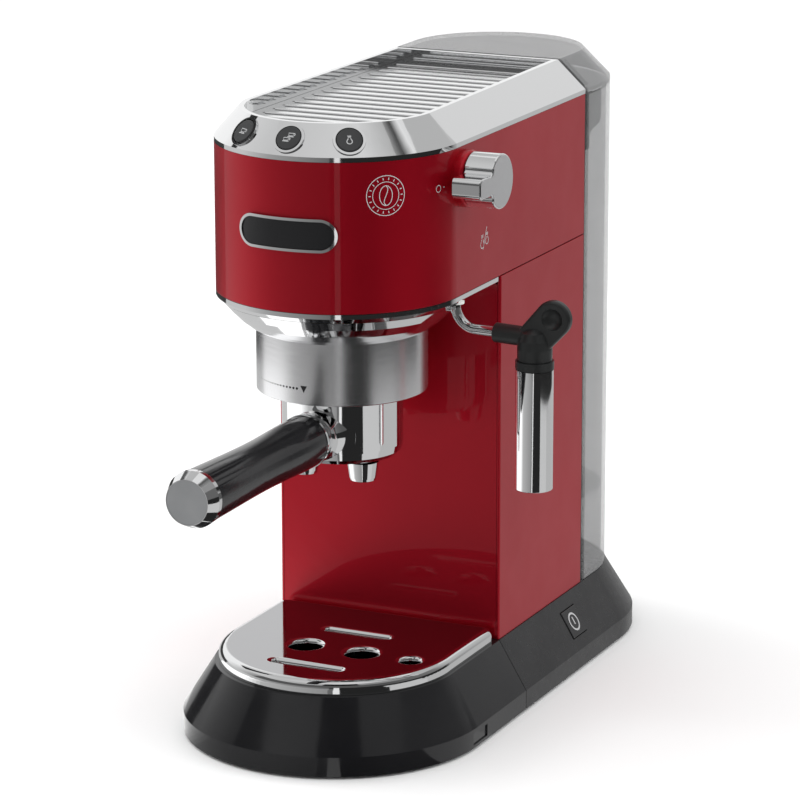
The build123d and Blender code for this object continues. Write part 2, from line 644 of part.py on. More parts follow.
def wand_elbow():
    """Black elbow over the pipe, with the thumb ear that the wand is swung by."""
    body = bar(4.7, along_arm(22.5, WAND_ARM_Z), (FROTHER_X, FROTHER_Y, WAND_ARM_Z))
    body += turned(((0, 190.4), (8.2, 190.4), (8.3, 196), (7.8, 200), (6.2, 203.6), (3, ELBOW_TOP + 1),
                    (0, ELBOW_TOP + 1)), Plane(origin=(FROTHER_X, FROTHER_Y, 0)))
    ear_x, ear_z = FROTHER_X + 9.5, 211.0
    ear_plane = Plane(origin=(ear_x, FROTHER_Y, ear_z), x_dir=(1, 0, 0), z_dir=(0, -1, 0))
    rounds = (Circle(8.8), Pos(-8.8, -13.4) * Circle(6.0), Pos(-13.6, -8.6) * Circle(4.0))
    ear = make_hull([edge for part in rounds for edge in part.edges()])
    ear = extrude(ear_plane * ear, amount=2.6, both=True)
    ear = fillet(ear.faces().filter_by(Axis.Y).edges(), 1.6)
    ear -= ear_plane * Pos(0, 0, 5.6) * Sphere(6)
    body += ear
    return body - bar(2.52, along_arm(20, WAND_ARM_Z), along_arm(30.1, WAND_ARM_Z))


def frother_core():
    """Ring and steam nozzle under the elbow, inside the sleeve."""
    axis = Plane(origin=(FROTHER_X, FROTHER_Y, 0))
    return turned(((0, 126.4), (1.6, 126.4), (3.0, 127.6), (3.2, 176.6), (7.7, 178.6),
                   (7.7, 186.3), (9.1, 186.3), (9.1, 190.3), (0, 190.3)), axis)


def frother_sleeve():
    """Bright sleeve that pulls down off the nozzle."""
    sleeve = ring(SLEEVE_R, SLEEVE_R - 1.0, 128.2, 186.0, FROTHER_X, FROTHER_Y)
    return fillet(sleeve.edges().group_by(Axis.Z)[0], 0.3)


# ---- water tank -------------------------------------------------------------------------
def water_tank():
    """Smoked tank; its skirt stands on the base, and its floor is higher up."""
    wall = 2.0
    tank = prism(dee(TANK_FRONT_Y, REAR_Y, BODY_HALF), Z_BASE + 0.4, Z_TANK_TOP)
    hole = prism(dee(TANK_FRONT_Y + wall, REAR_Y, BODY_HALF - wall), TANK_FLOOR_Z, Z_TANK_TOP + 1)
    hole += prism(dee(TANK_FRONT_Y + wall, REAR_Y, BODY_HALF - wall), 30, TANK_FLOOR_Z - wall)
    tank -= hole
    return tank - disc(10.1, 70, 80, 0, DOCK_Y)


def tank_valve_body():
    """Valve housing that hangs from the tank's floor into the dock."""
    z = TANK_FLOOR_Z + GAP
    profile = ((5, 42.5), (10, 42.5), (10, z), (13, z), (13, z + 3), (7, z + 3), (7, 94),
               (1.9, 94), (1.9, 92), (5, 92))
    body = turned(profile, Plane(origin=(0, DOCK_Y, 0)))
    window = (82, 88)
    body -= block((-9, 9), (DOCK_Y - 1.5, DOCK_Y + 1.5), window)
    return body - block((-1.5, 1.5), (DOCK_Y - 9, DOCK_Y + 9), window)


def tank_valve_plunger():
    profile = ((0, 39.5), (3.2, 39.5), (3.2, 70), (4.6, 70), (4.6, 72), (1.5, 72), (1.5, 96), (0, 96))
    return turned(profile, Plane(origin=(0, DOCK_Y, 0)))


def tank_valve_spring():
    """Spring that closes the valve, as the sleeve of space that it fills."""
    return ring(4.4, 2.6, 72.1, 91.9, 0, DOCK_Y)


def tank_handle():
    """Dark bar inside the tank's mouth: it lifts the tank and carries the lid's pins."""
    near_y = TANK_FRONT_Y + 2.2
    handle = block((-57.2, 57.2), (near_y, near_y + 3.6), (279, 287.4))
    for side in (-1, 1):
        near, far = sorted((side * 46.0, side * 57.2))
        handle += block((near, far), (near_y, near_y + 11), (268, 287.4))
        near, far = sorted((side * 36.0, side * 39.0))
        lug = block((near, far), (LID_AXIS_Y - 2.3, LID_AXIS_Y + 2.3), (285, LID_AXIS_Z))
        lug += bar(2.3, (near, LID_AXIS_Y, LID_AXIS_Z), (far, LID_AXIS_Y, LID_AXIS_Z))
        handle += lug
    return handle - bar(1.3, (-45, LID_AXIS_Y, LID_AXIS_Z), (45, LID_AXIS_Y, LID_AXIS_Z))


def lid_skin(inset, y_front, z0):
    """The lid's shape; an inset gives its inside."""
    low = dee(y_front, REAR_Y, BODY_HALF - inset)
    high = dee(y_front, REAR_Y + 3.5, RIDGE_REAR - 0.6 * inset, RIDGE_REAR - 0.6 * inset)
    skin = prism(low, z0, Z_BEVEL - 0.4 * inset)
    return skin + taper(low, Z_BEVEL - 0.4 * inset, high, HEIGHT - inset)


def tank_lid():
    """Smoked lid that carries on the top frame's bevel round the back."""
    lid = lid_skin(0, TANK_FRONT_Y + 0.3, Z_LID) - lid_skin(1.8, TANK_FRONT_Y, Z_LID - 1)
    return lid + block((-34, 34), (TANK_FRONT_Y + 0.3, TANK_FRONT_Y + 2.1), (301.7, HEIGHT - 1))


def lid_hinge_arms():
    """Two dark arms under the lid, with the pins that it turns on."""
    pair = []
    outline = Polyline((39.8, 298.5), (39.8, 302.6), (42.4, 302.6), (54.8, 291.0), (50, 291.0),
                       (43.5, 298.5), close=True)
    for side in (-1, 1):
        arm = Pos(0, TANK_FRONT_Y + 13, 0) * (Plane.XZ * make_face(outline))
        arm = extrude(arm, amount=10.4, dir=(0, -1, 0))
        arm += bar(1.24, (36.2, LID_AXIS_Y, LID_AXIS_Z), (41, LID_AXIS_Y, LID_AXIS_Z))
        pair.append(arm if side > 0 else mirror(arm, about=Plane.YZ))
    return Compound(pair)


# ---- all the nodes ----------------------------------------------------------------------
NODES = {
    "base_housing": base_housing, "base_plate": base_plate, "screws": screws,
    "rubber_feet": rubber_feet, "cord_gland": cord_gland, "power_switch": power_switch,
    "drip_tray": drip_tray, "drip_float": drip_float, "cup_grille": cup_grille,
    "column_front_panel": column_front_panel, "side_panels": side_panels,
    "rear_frame": rear_frame, "inner_chassis": inner_chassis, "pump_body": pump_body,
    "pump_coil": pump_coil, "inner_rubbers": inner_rubbers, "flow_meter": flow_meter,
    "water_hoses": water_hoses, "pressure_tubes": pressure_tubes, "thermoblock": thermoblock,
    "steam_valve": steam_valve, "circuit_boards": circuit_boards,
    "electrical_parts": electrical_parts, "tank_dock": tank_dock, "head_shell": head_shell,
    "top_frame": top_frame, "cup_tray": cup_tray, "head_trim": head_trim,
    "group_dish": group_dish, "group_collar": group_collar, "bayonet_ring": bayonet_ring,
    "brewing_head": brewing_head, "shower_screen": shower_screen, "wand_socket": wand_socket,
    "button_bezels": button_bezels, "badge_rim": badge_rim, "badge_face": badge_face,
    "button_one_cup": lambda: button(BUTTON_ANGLES[0]),
    "button_two_cups": lambda: button(BUTTON_ANGLES[1]),
    "button_steam": lambda: button(BUTTON_ANGLES[2]),
    "holder_body": holder_body, "spouts": spouts, "filter_basket": filter_basket,
    "holder_grip": holder_grip, "holder_bolt": holder_bolt, "grip_cap_ring": grip_cap_ring,
    "grip_cap_disc": grip_cap_disc, "steam_knob": steam_knob, "valve_spindle": valve_spindle,
    "wand_pipe": wand_pipe, "wand_elbow": wand_elbow, "frother_core": frother_core,
    "frother_sleeve": frother_sleeve, "water_tank": water_tank,
    "tank_valve_body": tank_valve_body, "tank_valve_plunger": tank_valve_plunger,
    "tank_valve_spring": tank_valve_spring, "tank_handle": tank_handle, "tank_lid": tank_lid,
    "lid_hinge_arms": lid_hinge_arms,
}


def write_parts():
    os.makedirs("parts", exist_ok=True)
    for name, make in NODES.items():
        export_step(make(), f"parts/{name}.step")


write_parts()
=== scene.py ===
"""The looks of a slim pump espresso machine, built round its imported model.

Metres, in the model's own frame: +Z is up, the machine's front faces -Y, and +X is the side of
the steam knob. The machine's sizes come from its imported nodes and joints; where the camera
stands and where the marks are printed is given below.
"""
import json
from math import cos, pi, radians, sin

import bpy
from mathutils import Matrix, Vector


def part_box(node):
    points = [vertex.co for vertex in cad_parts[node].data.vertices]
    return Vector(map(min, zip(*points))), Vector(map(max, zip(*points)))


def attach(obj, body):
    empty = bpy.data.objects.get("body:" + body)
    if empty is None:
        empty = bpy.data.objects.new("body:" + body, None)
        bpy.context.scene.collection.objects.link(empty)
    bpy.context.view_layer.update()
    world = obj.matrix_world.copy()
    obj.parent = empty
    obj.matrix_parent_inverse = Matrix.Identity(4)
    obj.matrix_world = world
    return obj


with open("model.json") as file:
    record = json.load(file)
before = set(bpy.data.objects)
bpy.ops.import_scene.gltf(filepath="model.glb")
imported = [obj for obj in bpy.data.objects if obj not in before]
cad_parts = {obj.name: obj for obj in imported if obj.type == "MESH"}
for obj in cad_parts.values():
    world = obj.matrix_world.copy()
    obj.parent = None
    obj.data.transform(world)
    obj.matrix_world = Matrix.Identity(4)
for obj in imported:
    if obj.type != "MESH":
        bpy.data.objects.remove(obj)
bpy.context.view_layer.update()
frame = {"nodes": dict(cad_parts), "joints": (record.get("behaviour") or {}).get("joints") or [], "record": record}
NODES = frame["nodes"]
JOINTS = {joint["name"]: joint for joint in frame["joints"]}
MM = 0.001
UP = Vector((0, 0, 1))

# ---- driving dimensions, from the frame --------------------------------------------------
BODY_HALF = -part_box("head_shell")[0].x    # half the width of the body, and the head's radius
COLLAR_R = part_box("group_collar")[1].x
TANK_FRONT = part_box("water_tank")[0].y

# ---- the camera and the floor ------------------------------------------------------------
CAMERA_PLACE = (0.7876, -1.6173, 0.6352)
CAMERA_AZIMUTH, CAMERA_TILT, CAMERA_ROLL = radians(25.091), radians(14.736), radians(-0.099)
FOCAL_LENGTH, SENSOR_WIDTH = 175.66, 36.0    # mm
FLOOR_HALF = 12

# ---- the printed marks; angles are in degrees from straight ahead, towards +X ------------
MARK_LIFT = 0.04 * MM                     # how far a mark stands off its surface
BEAN_ANGLE, BEAN_Z = 46, 273 * MM
CLOSED_ANGLE, CLOSED_Z = 74.7, 272.6 * MM
STEAM_Y, STEAM_Z = 32 * MM, 240 * MM
POINTER_ANGLE, POINTER_Z = -0.3, 177 * MM
POINTER_DOTS = 16
SWITCH_OUT = Vector((0.85593, 0, 0.51713))    # the way the power switch faces

# ---- the tank's brackets, in mm: both faces' X, and the outline's (Y, Z) -----------------
BRACKET_X = (56.2, 57.2)
BRACKET_OUTLINE = ((160.4, 287), (182, 287), (182, 272.6), (180, 270.0), (168.6, 267.6),
                   (167.2, 265.6), (167.2, 259), (160.4, 259))


# ---- shader building blocks --------------------------------------------------------------
def finish(name, colour, roughness, metallic=0.0, coat=0.0, ior=1.5):
    """A material with its even values set; the functions below add what varies."""
    material = bpy.data.materials.new(name)
    material.use_nodes = True
    shader = material.node_tree.nodes["Principled BSDF"]
    shader.inputs["Base Color"].default_value = (*colour, 1)
    shader.inputs["Roughness"].default_value = roughness
    shader.inputs["Metallic"].default_value = metallic
    shader.inputs["IOR"].default_value = ior
    shader.inputs["Coat Weight"].default_value = coat
    shader.inputs["Coat Roughness"].default_value = 0.02
    return material


def shader_of(material):
    return material.node_tree.nodes["Principled BSDF"]


def add_node(material, kind, **values):
    """A node with some of its inputs set, by name."""
    made = material.node_tree.nodes.new(kind)
    for name, value in values.items():
        made.inputs[name].default_value = value
    return made


def link(material, source, target):
    material.node_tree.links.new(source, target)


def grain(material, size, stretch=(1, 1, 1), detail=3.0):
    """Noise with features of a size in metres, drawn out along an axis by its stretch."""
    place = add_node(material, "ShaderNodeTexCoord").outputs["Object"]
    scaled = add_node(material, "ShaderNodeMapping", Scale=[1 / s for s in stretch])
    noise = add_node(material, "ShaderNodeTexNoise", Scale=1 / size, Detail=detail)
    link(material, place, scaled.inputs["Vector"])
    link(material, scaled.outputs["Vector"], noise.inputs["Vector"])
    return noise.outputs["Fac"]


def map_range(material, source, start, end, low=0.0, high=1.0):
    """The source's range start...end, mapped to low...high."""
    mapped = material.node_tree.nodes.new("ShaderNodeMapRange")
    limits = {"From Min": start, "From Max": end, "To Min": low, "To Max": high}
    for name, value in limits.items():
        mapped.inputs[name].default_value = value
    link(material, source, mapped.inputs["Value"])
    return mapped.outputs["Result"]


def spread(material, source, low, high):
    """A noise's middle range, mapped to low...high."""
    return map_range(material, source, 0.3, 0.7, low, high)


def place_axis(material, kind, axis):
    """One axis of a texture coordinate: Object is the place, Normal the way a face looks."""
    place = add_node(material, "ShaderNodeTexCoord")
    axes = add_node(material, "ShaderNodeSeparateXYZ")
    link(material, place.outputs[kind], axes.inputs["Vector"])
    return axes.outputs[axis]


def vary_roughness(material, source, low, high):
    """The source's middle range drives the roughness."""
    link(material, spread(material, source, low, high), shader_of(material).inputs["Roughness"])


def blend_colours(material, source, first, second):
    """A colour between two, by the source."""
    mix = material.node_tree.nodes.new("ShaderNodeMix")
    mix.data_type = "RGBA"
    colours = [socket for socket in mix.inputs if socket.type == "RGBA"]
    colours[0].default_value = (*first, 1)
    colours[1].default_value = (*second, 1)
    link(material, source, mix.inputs["Factor"])
    return next(socket for socket in mix.outputs if socket.type == "RGBA")


def vary_colour(material, source, first, second):
    """The source's middle range drives the base colour, from the first to the second."""
    share = spread(material, source, 0, 1)
    mixed = blend_colours(material, share, first, second)
    link(material, mixed, shader_of(material).inputs["Base Color"])


def add_bump(material, source, height):
    """Relief of a height in metres."""
    bump = add_node(material, "ShaderNodeBump", Strength=1.0, Distance=height)
    link(material, source, bump.inputs["Height"])
    link(material, bump.outputs["Normal"], shader_of(material).inputs["Normal"])


def turn_grain_round(material, amount):
    """Stretches highlights across a grain that runs round the upright axis."""
    tangent = material.node_tree.nodes.new("ShaderNodeTangent")
    tangent.direction_type = "RADIAL"
    tangent.axis = "Z"
    shader_of(material).inputs["Anisotropic"].default_value = amount
    link(material, tangent.outputs["Tangent"], shader_of(material).inputs["Tangent"])


# ---- finishes ----------------------------------------------------------------------------
def red_paint():
    """Deep metallic enamel: its coloured base mirrors softly under a clear coat."""
    paint = finish("red_paint", (0.48, 0.002, 0.015), 0.42, metallic=0.8, coat=0.38)
    vary_colour(paint, grain(paint, 0.09), (0.46, 0.0015, 0.014), (0.5, 0.003, 0.017))
    vary_roughness(paint, grain(paint, 0.02), 0.4, 0.46)
    return paint


def chrome(name="chrome", colour=(0.86, 0.865, 0.87), low=0.035, high=0.075):
    """Mirror plating, very slightly wavy."""
    metal = finish(name, colour, low, metallic=1.0)
    vary_roughness(metal, grain(metal, 0.012), low, high)
    add_bump(metal, grain(metal, 0.01, detail=1.0), 0.0000015)
    return metal


def polished_steel():
    """Bare steel, darker than chrome."""
    return chrome("polished_steel", (0.72, 0.725, 0.73), 0.05, 0.09)


def grille_steel():
    """Mirror-polished plate with painted reflection: its flat top face is given a darker base colour than its
    rolled edges and hole rims.
    """
    metal = finish("grille_steel", (0.8, 0.8, 0.8), 0.05, metallic=1.0)
    # painted reflection: faces that look straight up get the dark steel colour, and rolled edges and hole rims get
    # the bright one
    flat = map_range(metal, place_axis(metal, "Normal", "Z"), 0.985, 0.9995)
    mixed = blend_colours(metal, flat, (0.82, 0.825, 0.83), (0.42, 0.42, 0.43))
    link(metal, mixed, shader_of(metal).inputs["Base Color"])
    vary_roughness(metal, grain(metal, 0.015), 0.035, 0.07)
    return metal


def brushed_collar():
    """Steel brushed in fine lines round the upright axis."""
    metal = finish("brushed_collar", (0.82, 0.82, 0.83), 0.22, metallic=1.0)
    lines = grain(metal, 0.00022, stretch=(60, 60, 1), detail=1.0)
    vary_colour(metal, lines, (0.8, 0.8, 0.81), (0.85, 0.85, 0.86))
    vary_roughness(metal, lines, 0.19, 0.24)
    add_bump(metal, lines, 0.0000003)
    turn_grain_round(metal, 0.7)
    return metal


def brushed_steel():
    """Steel brushed from side to side."""
    metal = finish("brushed_steel", (0.64, 0.64, 0.645), 0.25, metallic=1.0)
    lines = grain(metal, 0.0004, stretch=(60, 1, 1))
    vary_colour(metal, lines, (0.58, 0.58, 0.585), (0.7, 0.7, 0.705))
    vary_roughness(metal, lines, 0.2, 0.34)
    add_bump(metal, lines, 0.000005)
    return metal


def plain_steel():
    """Rolled sheet and screws."""
    metal = finish("steel", (0.58, 0.58, 0.59), 0.35, metallic=1.0)
    vary_roughness(metal, grain(metal, 0.003), 0.28, 0.45)
    return metal


def satin_metal():
    """Bead-blasted face of the steam knob."""
    metal = finish("satin_metal", (0.62, 0.62, 0.63), 0.32, metallic=0.8)
    vary_roughness(metal, grain(metal, 0.002), 0.28, 0.36)
    return metal


def black_gloss():
    """Glossy black plastic, slightly wavy."""
    plastic = finish("black_gloss", (0.008, 0.008, 0.009), 0.12, ior=1.52)
    vary_colour(plastic, grain(plastic, 0.05), (0.006, 0.006, 0.007), (0.011, 0.011, 0.012))
    vary_roughness(plastic, grain(plastic, 0.01), 0.09, 0.15)
    add_bump(plastic, grain(plastic, 0.006, detail=1.0), 0.000002)
    return plastic


def moulded(name, dark, light, low, high, relief=0.000012, size=0.0006):
    """Moulded plastic with a fine grain."""
    plastic = finish(name, light, high)
    vary_colour(plastic, grain(plastic, 0.02), dark, light)
    vary_roughness(plastic, grain(plastic, 0.004), low, high)
    add_bump(plastic, grain(plastic, size), relief)
    return plastic


def smoked(name, tint, roughness, solid, edge):
    """Clear plastic, tinted grey, with its base colour darkened in a strip along its front: painted shade standing
    in for the dark gap between the red side and the tank.

    solid is how much it hides, and edge the Y at which its painted dark front ends.
    """
    plastic = finish(name, tint, roughness)
    shader_of(plastic).inputs["Alpha"].default_value = solid
    # painted shade: the base colour is near black in front of edge and the grey tint behind it
    behind = map_range(plastic, place_axis(plastic, "Object", "Y"), edge - 0.3 * MM,
                       edge + 0.3 * MM)
    dark = [0.12 * part for part in tint]
    mixed = blend_colours(plastic, behind, dark, tint)
    link(plastic, mixed, shader_of(plastic).inputs["Base Color"])
    vary_roughness(plastic, grain(plastic, 0.02), roughness * 0.8, roughness * 1.2)
    return plastic


def metal_cast(name, dark, light, low, high, relief):
    """Cast metal with a rough skin."""
    metal = finish(name, light, high, metallic=1.0)
    vary_colour(metal, grain(metal, 0.004), dark, light)
    vary_roughness(metal, grain(metal, 0.002), low, high)
    add_bump(metal, grain(metal, 0.0008), relief)
    return metal


def wound_copper():
    """Turns of enamelled wire, wound round the upright axis."""
    metal = finish("copper", (0.62, 0.26, 0.12), 0.3, metallic=1.0)
    lines = grain(metal, 0.0005, stretch=(40, 40, 1))
    vary_colour(metal, lines, (0.45, 0.17, 0.07), (0.68, 0.3, 0.14))
    add_bump(metal, lines, 0.00008)
    return metal


# The finish of each material slot
FINISHES = {
    "red_paint": red_paint(),
    "black_gloss": black_gloss(),
    "black_plastic": moulded("black_plastic", (0.012, 0.012, 0.013), (0.018, 0.018, 0.019), 0.4, 0.55),
    "black_satin": moulded("black_satin", (0.011, 0.012, 0.012), (0.016, 0.017, 0.017), 0.3, 0.4),
    "rubber": moulded("rubber", (0.014, 0.014, 0.014), (0.022, 0.022, 0.022), 0.65, 0.85, 0.00003),
    "steel": plain_steel(),
    "polished_steel": polished_steel(),
    "brushed_steel": brushed_steel(),
    "chrome": chrome(),
    "satin_grey": moulded("satin_grey", (0.2, 0.205, 0.21), (0.24, 0.245, 0.25), 0.3, 0.4, 0.000004),
    "button_grey": moulded("button_grey", (0.022, 0.023, 0.024), (0.03, 0.031, 0.032), 0.35, 0.45),
    # the tank and lid carry a painted dark strip along their front, for the shade of the gap there
    "tank_smoke": smoked("tank_smoke", (0.3, 0.303, 0.306), 0.2, 0.42, TANK_FRONT + 2.3 * MM),
    "lid_smoke": smoked("lid_smoke", (0.2, 0.202, 0.205), 0.15, 0.62, TANK_FRONT - 5 * MM),
    "brass": metal_cast("brass", (0.5, 0.34, 0.13), (0.66, 0.48, 0.2), 0.25, 0.4, 0.00001),
    "copper": wound_copper(),
    "cast_aluminium": metal_cast("cast_aluminium", (0.5, 0.5, 0.51), (0.64, 0.64, 0.65), 0.4, 0.6,
                                 0.00005),
    "silicone": moulded("silicone", (0.7, 0.7, 0.68), (0.8, 0.8, 0.78), 0.35, 0.5),
    "white_plastic": moulded("white_plastic", (0.7, 0.7, 0.68), (0.78, 0.78, 0.76), 0.3, 0.45),
    "board_green": moulded("board_green", (0.01, 0.12, 0.035), (0.02, 0.18, 0.055), 0.3, 0.5, 0.00003,
                           0.003),
    "component_grey": moulded("component_grey", (0.03, 0.03, 0.032), (0.06, 0.06, 0.062), 0.4, 0.6),
}
# Nodes whose finish is finer than their slot's
OWN_FINISHES = {
    "cup_grille": grille_steel(),
    "cup_tray": chrome("tray_steel", (0.86, 0.865, 0.87), 0.1, 0.16),
    "bayonet_ring": chrome("plated_brass", (0.78, 0.775, 0.765), 0.1, 0.16),
    "group_collar": brushed_collar(),
    "base_housing": moulded("base_satin", (0.01, 0.01, 0.011), (0.016, 0.016, 0.017), 0.25, 0.34,
                            0.000004),
}
# Printed marks, by slot
PRINTS = {
    "satin_grey": moulded("print_grey", (0.42, 0.425, 0.43), (0.47, 0.475, 0.48), 0.35, 0.45),
    "black_gloss": FINISHES["black_gloss"],
}


def paint_nodes():
    """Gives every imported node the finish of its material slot, or its own."""
    for entry in frame["record"]["subparts"]:
        node = NODES[entry["node"]]
        node.data.materials.clear()
        node.data.materials.append(
            OWN_FINISHES.get(entry["node"]) or FINISHES[entry["material_slot"]]
        )


# ---- camera, light and floor -------------------------------------------------------------
def add_camera():
    """A long lens, ahead of the machine, a little to its +X side and above it."""
    data = bpy.data.cameras.new("camera")
    data.sensor_width = SENSOR_WIDTH
    data.lens = FOCAL_LENGTH
    camera = bpy.data.objects.new("camera", data)
    bpy.context.scene.collection.objects.link(camera)
    turn = Matrix.Rotation(CAMERA_AZIMUTH, 4, "Z") @ Matrix.Rotation(pi / 2 - CAMERA_TILT, 4, "X")
    roll = Matrix.Rotation(CAMERA_ROLL, 4, "Z")
    camera.matrix_world = Matrix.Translation(CAMERA_PLACE) @ turn @ roll
    bpy.context.scene.camera = camera


def add_area(name, place, size, power, aim=(0, 0.06, 0.15)):
    """A rectangular area light, turned to face aim."""
    data = bpy.data.lights.new(name, "AREA")
    data.shape = "RECTANGLE"
    data.size, data.size_y = size
    data.energy = power
    light = bpy.data.objects.new(name, data)
    light.location = place
    light.rotation_euler = (Vector(aim) - Vector(place)).to_track_quat("-Z", "Y").to_euler()
    bpy.context.scene.collection.objects.link(light)
    return light


def add_lights():
    """A wide soft ceiling and two side boxes; the machine mirrors the cards instead of them."""
    lights = [add_area("ceiling", (0, 0.3, 4), (16, 16), 640, aim=(0, 0.3, 0)),
              add_area("left_box", (-1.5, 0.1, 0.7), (1.2, 1.2), 14),
              add_area("right_box", (1.5, 0.4, 0.7), (1.2, 1.2), 9)]
    for light in lights:
        light.visible_glossy = False


def add_world():
    """Even white light from all round."""
    world = bpy.data.worlds.new("studio")
    world.use_nodes = True
    world.node_tree.nodes["Background"].inputs["Color"].default_value = (1, 1, 1, 1)
    world.node_tree.nodes["Background"].inputs["Strength"].default_value = 0.45
    bpy.context.scene.world = world


def card_material():
    """Glows as brightly as the card's own level says."""
    material = bpy.data.materials.new("card")
    material.use_nodes = True
    tree = material.node_tree
    tree.nodes.clear()
    level = tree.nodes.new("ShaderNodeAttribute")
    level.attribute_name = "level"
    glow = tree.nodes.new("ShaderNodeEmission")
    output = tree.nodes.new("ShaderNodeOutputMaterial")
    tree.links.new(level.outputs["Fac"], glow.inputs["Strength"])
    tree.links.new(glow.outputs["Emission"], output.inputs["Surface"])
    return material


def add_card(name, sector, inner, outer, material):
    """A studio card seen only in the machine's reflections.

    The sector is (start, end, first level, last level), in degrees round the machine from
    straight ahead towards +X. inner and outer are the (radius, height) of its two edges.
    """
    start, end, first, last = sector
    steps = max(2, round((end - start) / 4))
    shares = [step / steps for step in range(steps + 1)]
    verts = []
    for radius, z in (inner, outer):
        for share in shares:
            angle = radians(start + (end - start) * share)
            verts.append((radius * sin(angle), -radius * cos(angle), z))
    row = steps + 1
    card = mesh_object(name, verts, [(i, i + 1, row + i + 1, row + i) for i in range(steps)])
    levels = card.data.attributes.new("level", "FLOAT", "POINT")
    levels.data.foreach_set("value", 2 * [first + (last - first) * share for share in shares])
    card.data.materials.append(material)
    card.visible_camera = False
    card.visible_diffuse = False
    card.visible_shadow = False
    card.visible_transmission = False


def add_cards():
    """Bright and dark cards round the machine, for its reflections.

    Each ring has its inner and outer (radius, height), and its sectors.
    """
    rings = {
        "floor": ((0.02, 0.3 * MM), (0.75, 0.3 * MM),
                  ((-143, -102, 0.6, 0.6), (-102, -60, 1.3, 1.3), (-60, -40, 1.3, 0.5),
                   (-40, 16, 0.5, 0.3), (16, 20, 0.15, 0.15), (20, 25, 0.9, 0.9),
                   (25, 64, 0.02, 0.02), (64, 100, 0.6, 0.6), (100, 185, 0.5, 0.5),
                   (185, 217, 0.95, 0.95))),
        "low_wall": ((0.75, 0.3 * MM), (0.8, 0.2),
                     ((-143, -102, 0.05, 0.05), (-102, -70, 0.6, 0.6), (-70, -40, 0.6, 0.35),
                      (-40, 16, 0.35, 0.15), (16, 20, 0.05, 0.05), (20, 25, 0.8, 0.8),
                      (25, 140, 0.02, 0.02), (140, 150, 0.02, 0.5), (150, 185, 0.5, 0.5),
                      (185, 217, 0.9, 0.9))),
        "high_wall": ((0.8, 0.2), (0.95, 0.75),
                      ((-143, -112, 1.0, 1.0), (-112, -60, 1.0, 0.3),
                       (-60, 72, 0.1, 0.1), (72, 130, 0.1, 0.2), (130, 150, 0.2, 0.5),
                       (150, 160, 0.5, 0.55), (160, 190, 0.72, 0.8), (190, 217, 0.98, 0.98))),
        "upper": ((0.95, 0.75), (0.75, 1.1),
                  ((-143, -118, 0.7, 0.7), (-118, -94, 0.03, 0.03), (-94, -60, 0.7, 0.6),
                   (-60, 8, 0.6, 0.4), (8, 46, 0.0, 0.0), (46, 100, 0.3, 0.3),
                   (100, 109, 0.3, 0.05), (109, 118, 0.05, 0.9),
                   (118, 217, 0.5, 0.5))),
        "ceiling": ((0.75, 1.1), (0.02, 1.3),
                    ((-143, -40, 0.5, 0.62), (-40, 60, 0.62, 0.72), (60, 98, 0.72, 0.5),
                     (98, 107, 0.3, 0.05), (107, 118, 0.05, 0.9), (118, 217, 0.8, 0.8))),
    }
    material = card_material()
    for ring, (inner, outer, sectors) in rings.items():
        for i, sector in enumerate(sectors):
            add_card(f"{ring}_card_{i}", sector, inner, outer, material)


def add_floor():
    """A plain pale floor that mirrors nothing."""
    corners = [(x * FLOOR_HALF, y * FLOOR_HALF, 0) for x, y in ((-1, -1), (1, -1), (1, 1), (-1, 1))]
    floor = mesh_object("floor", corners, [(0, 1, 2, 3)])
    pale = finish("floor", (0.9, 0.9, 0.9), 0.8)
    shader_of(pale).inputs["Specular IOR Level"].default_value = 0.0
    vary_colour(pale, grain(pale, 0.3), (0.89, 0.89, 0.89), (0.91, 0.91, 0.91))
    floor.data.materials.append(pale)


# ---- mesh building blocks ----------------------------------------------------------------
def mesh_object(name, verts, faces):
    """An object in the scene, with a mesh made of vertices and faces."""
    mesh = bpy.data.meshes.new(name)
    mesh.from_pydata([tuple(v) for v in verts], [], faces)
    mesh.validate()
    made = bpy.data.objects.new(name, mesh)
    bpy.context.scene.collection.objects.link(made)
    return made


def piece(name, verts, faces, body, slot, material=None):
    """A new piece of the machine, on its body, with the finish of its slot."""
    made = mesh_object(name, verts, faces)
    made.data.materials.append(material or FINISHES[slot])
    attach(made, body)
    return made


def arc_points(x, y, r, start=0, end=360, steps=32):
    """Points of an arc in a drawing, in millimetres; a full circle ends where it begins."""
    return [(x + r * cos(radians(start + (end - start) * i / steps)),
             y + r * sin(radians(start + (end - start) * i / steps))) for i in range(steps + 1)]


def stroke(points, width):
    """A drawn line as (vertices, faces) of a flat strip, in the drawing's plane."""
    verts = []
    count = len(points)
    closed = count > 2 and (Vector(points[0]) - Vector(points[-1])).length < 1e-6
    for i, point in enumerate(points):
        before = points[i - 1] if i else (points[-2] if closed else point)
        after = points[i + 1] if i < count - 1 else (points[1] if closed else point)
        along = (Vector(after) - Vector(before)).normalized()
        side = Vector((-along.y, along.x)) * width / 2
        verts += [Vector(point) + side, Vector(point) - side]
    faces = [(2 * i, 2 * i + 1, 2 * i + 3, 2 * i + 2) for i in range(count - 1)]
    return verts, faces


def filled(points):
    """A filled convex outline."""
    return [Vector(p) for p in points], [tuple(range(len(points)))]


def dot(x, y, r):
    """A filled round spot."""
    return filled(arc_points(x, y, r, steps=12)[:-1])


def print_mark(name, shapes, place, body, slot):
    """Joins drawn shapes into one printed mark; place turns (u, v) in mm into a point."""
    verts, faces = [], []
    for shape_verts, shape_faces in shapes:
        first = len(verts)
        verts += [place(v.x, v.y) for v in shape_verts]
        faces += [tuple(first + i for i in face) for face in shape_faces]
    return piece(name, verts, faces, body, slot, PRINTS[slot])


def on_plane(origin, across, up, out):
    """Places a drawing on a flat face."""
    return lambda u, v: origin + (across * u + up * v) * MM + out * MARK_LIFT


